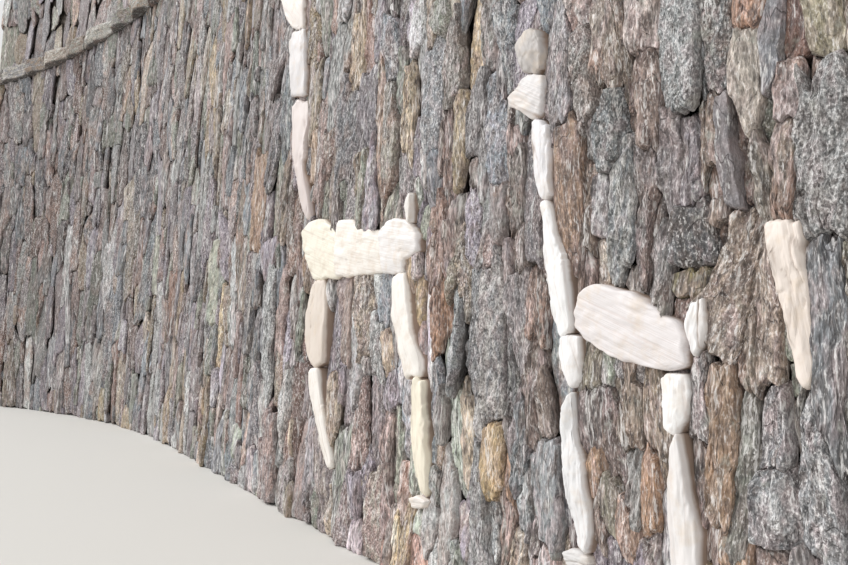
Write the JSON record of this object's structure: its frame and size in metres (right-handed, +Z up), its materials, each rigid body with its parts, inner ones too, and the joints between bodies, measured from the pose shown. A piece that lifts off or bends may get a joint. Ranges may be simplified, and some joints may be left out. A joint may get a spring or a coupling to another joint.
{
  "type": "dry stone terrace wall",
  "caption": "Tall battered dry stone wall of upright schist slabs, part curved in plan, with pale inlaid animal figures, a cap slab course and a set-back upper lift.",
  "frame": {"origin": "on the ground at mid thickness of the wall, where the curved run meets the straight run", "axes": "+X along the straight run to the right as seen from the front, +Y from the front face into the wall, +Z up"},
  "size_m": [11.8474, 2.9095, 5.05],
  "materials": {
    "facing_schist": "rough riven grey, brown and rust schist",
    "hearting_rubble": "rough broken stone",
    "back_schist": "rough riven grey and brown schist",
    "cap_slab_schist": "rough riven slab",
    "upper_schist": "rough riven grey schist",
    "cheek_schist": "rough riven grey and brown schist",
    "white_quartz": "weathered white quartz, cream stained",
    "cream_quartz": "weathered cream quartz"
  },
  "bodies": {
    "root": {"face_bay_1": "facing_schist", "face_bay_2": "facing_schist", "face_bay_3": "facing_schist", "face_bay_4": "facing_schist", "face_bay_5": "facing_schist", "face_bay_6": "facing_schist", "heart_bay_1": "hearting_rubble", "heart_bay_2": "hearting_rubble", "heart_bay_3": "hearting_rubble", "heart_bay_4": "hearting_rubble", "heart_bay_5": "hearting_rubble", "heart_bay_6": "hearting_rubble", "back_bay_1": "back_schist", "back_bay_2": "back_schist", "back_bay_3": "back_schist", "back_bay_4": "back_schist", "back_bay_5": "back_schist", "back_bay_6": "back_schist", "cap_slabs_bay_1": "cap_slab_schist", "cap_slabs_bay_2": "cap_slab_schist", "cap_slabs_bay_3": "cap_slab_schist", "cap_slabs_bay_4": "cap_slab_schist", "cap_slabs_bay_5": "cap_slab_schist", "cap_slabs_bay_6": "cap_slab_schist", "upper_lift_bay_1": "upper_schist", "upper_lift_bay_2": "upper_schist", "upper_lift_bay_3": "upper_schist", "upper_lift_bay_4": "upper_schist", "upper_lift_bay_5": "upper_schist", "upper_lift_bay_6": "upper_schist", "cheek_end_left": "cheek_schist", "cheek_end_right": "cheek_schist", "left_figure_head": "white_quartz", "left_figure_neck": "white_quartz", "left_figure_body": "white_quartz", "left_figure_tail": "white_quartz", "left_figure_fore_leg": "white_quartz", "left_figure_hind_leg": "white_quartz", "right_figure_head": "white_quartz", "right_figure_neck": "white_quartz", "right_figure_body": "white_quartz", "right_figure_tail": "white_quartz", "right_figure_fore_leg": "white_quartz", "right_figure_hind_leg": "white_quartz", "pale_leaning_stone": "cream_quartz"}
  },
  "joints": []
}
